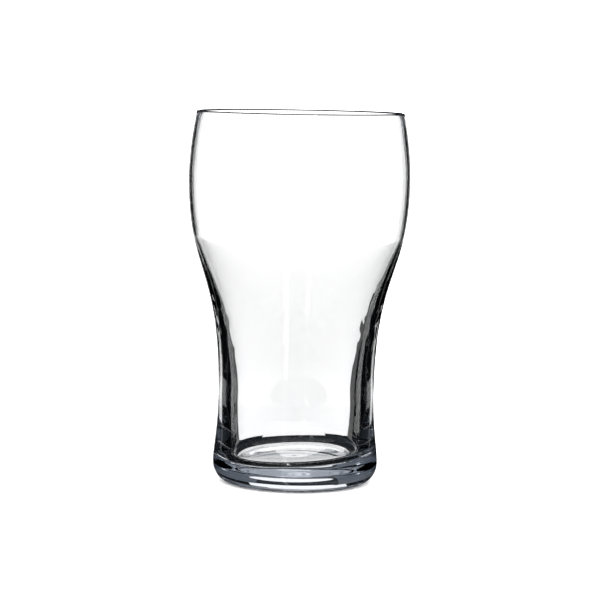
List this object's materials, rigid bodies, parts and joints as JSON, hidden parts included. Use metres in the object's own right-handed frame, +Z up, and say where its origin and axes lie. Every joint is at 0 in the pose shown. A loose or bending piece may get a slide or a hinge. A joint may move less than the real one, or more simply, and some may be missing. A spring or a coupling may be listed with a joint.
{
  "type": "pint glass",
  "caption": "Tulip-shaped clear drinking glass with a thick rounded foot, a straight waisted leg and a thin bulbous bowl that leans in to a rounded rim.",
  "frame": {"origin": "middle of the underside, on the plane of the ring that the glass stands on", "axes": "+Z up along the axis that the glass is turned about, from the base to the rim; X and Y are alike"},
  "size_m": [0.091, 0.091, 0.152],
  "materials": {
    "clear_glass": "smooth, fire-polished, clear and colourless with a faint cool tint where the base is thick"
  },
  "bodies": {
    "root": {"glass_body": "clear_glass"}
  },
  "joints": []
}
